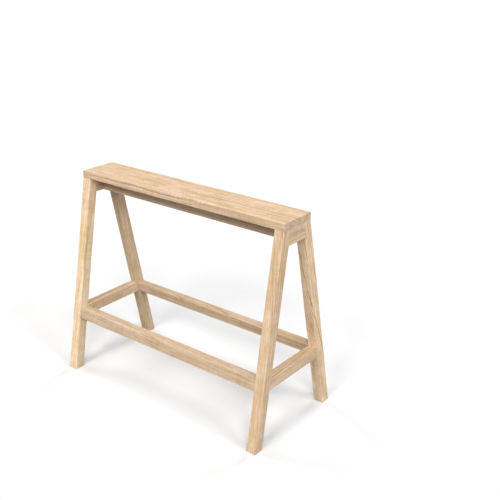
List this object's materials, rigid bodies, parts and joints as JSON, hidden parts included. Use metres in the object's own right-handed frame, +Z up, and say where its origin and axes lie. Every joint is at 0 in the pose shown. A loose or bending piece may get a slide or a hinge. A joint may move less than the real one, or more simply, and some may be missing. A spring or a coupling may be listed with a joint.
{
  "type": "trestle",
  "caption": "Rigid wooden trestle: a narrow top board on splayed square legs, tied by end aprons, a centre beam and low stretchers on all sides.",
  "frame": {"origin": "on the floor, under the middle of the top board", "axes": "+X along the top board to its right end, +Y to the back, +Z up"},
  "size_m": [0.868, 0.4076, 0.72],
  "materials": {
    "oak_top": "planed light oak, matt clear oil",
    "oak_legs": "planed light oak, matt clear oil",
    "oak_rails": "planed light oak, matt clear oil",
    "beech_dowel": "fluted, unfinished",
    "screw_steel": "yellow zinc plated"
  },
  "bodies": {
    "root": {"top_board": "oak_top", "centre_beam": "oak_rails", "end_apron_left": "oak_rails", "end_apron_right": "oak_rails", "end_stretcher_left": "oak_rails", "end_stretcher_right": "oak_rails", "long_stretcher_front": "oak_rails", "long_stretcher_back": "oak_rails", "leg_front_left": "oak_legs", "leg_front_right": "oak_legs", "leg_back_left": "oak_legs", "leg_back_right": "oak_legs", "apron_dowels_left": "beech_dowel", "apron_dowels_right": "beech_dowel", "end_stretcher_dowels_left": "beech_dowel", "end_stretcher_dowels_right": "beech_dowel", "long_stretcher_dowels_front": "beech_dowel", "long_stretcher_dowels_back": "beech_dowel", "centre_beam_dowels": "beech_dowel", "beam_screws": "screw_steel", "apron_screws": "screw_steel"}
  },
  "joints": []
}
